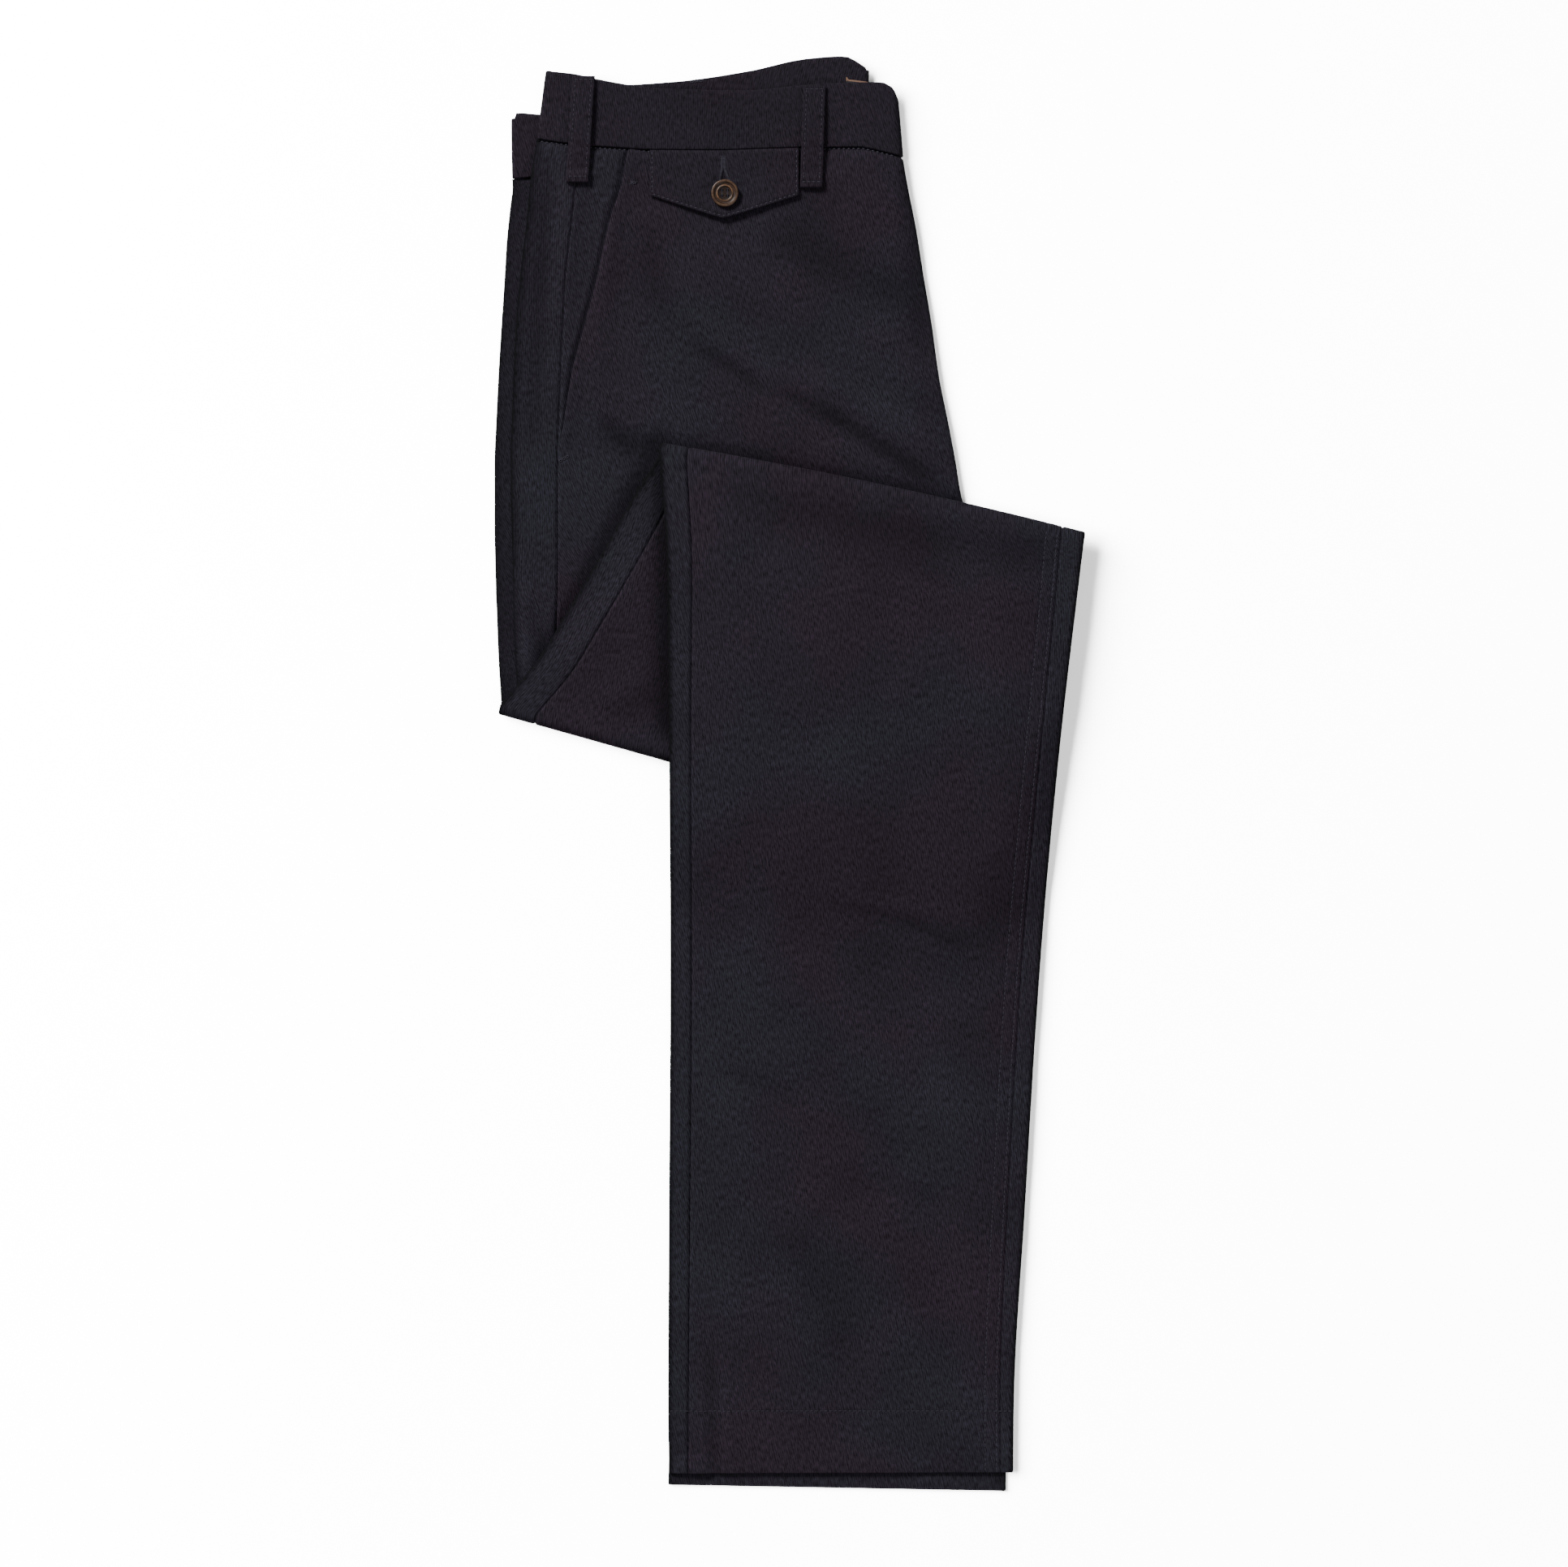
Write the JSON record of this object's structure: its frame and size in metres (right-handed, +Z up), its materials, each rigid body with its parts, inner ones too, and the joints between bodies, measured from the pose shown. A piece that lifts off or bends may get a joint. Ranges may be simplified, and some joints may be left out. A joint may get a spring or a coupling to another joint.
{
  "type": "folded twill trousers",
  "caption": "Dark twill trousers folded for a shelf, with waistband, belt loops, slanted pocket, pointed coin pocket flap and button.",
  "frame": {"origin": "centre of the bounding box's bottom, on the table", "axes": "+Y up the legs to the waistband, +X towards the centre front fold, +Z up from the table"},
  "size_m": [0.3275, 0.7968, 0.0159],
  "materials": {
    "twill": "washed cotton twill, navy black, matt with a faint nap",
    "button": "moulded brown imitation horn, satin, paler on the rim and the ring",
    "label": "woven tan tape, plain",
    "thread": "navy black polyester sewing thread"
  },
  "bodies": {
    "root": {"right_front": "twill", "left_front": "twill", "right_back_side": "twill", "left_back_side": "twill", "right_back_inseam": "twill", "left_back_inseam": "twill", "folded_layers": "twill", "right_hem": "twill", "left_hem": "twill", "waistband_right": "twill", "waistband_left": "twill", "pocket_facing": "twill", "coin_pocket_flap": "twill", "button": "button", "belt_loop_side": "twill", "belt_loop_front": "twill", "label_edge": "label"}
  },
  "joints": []
}
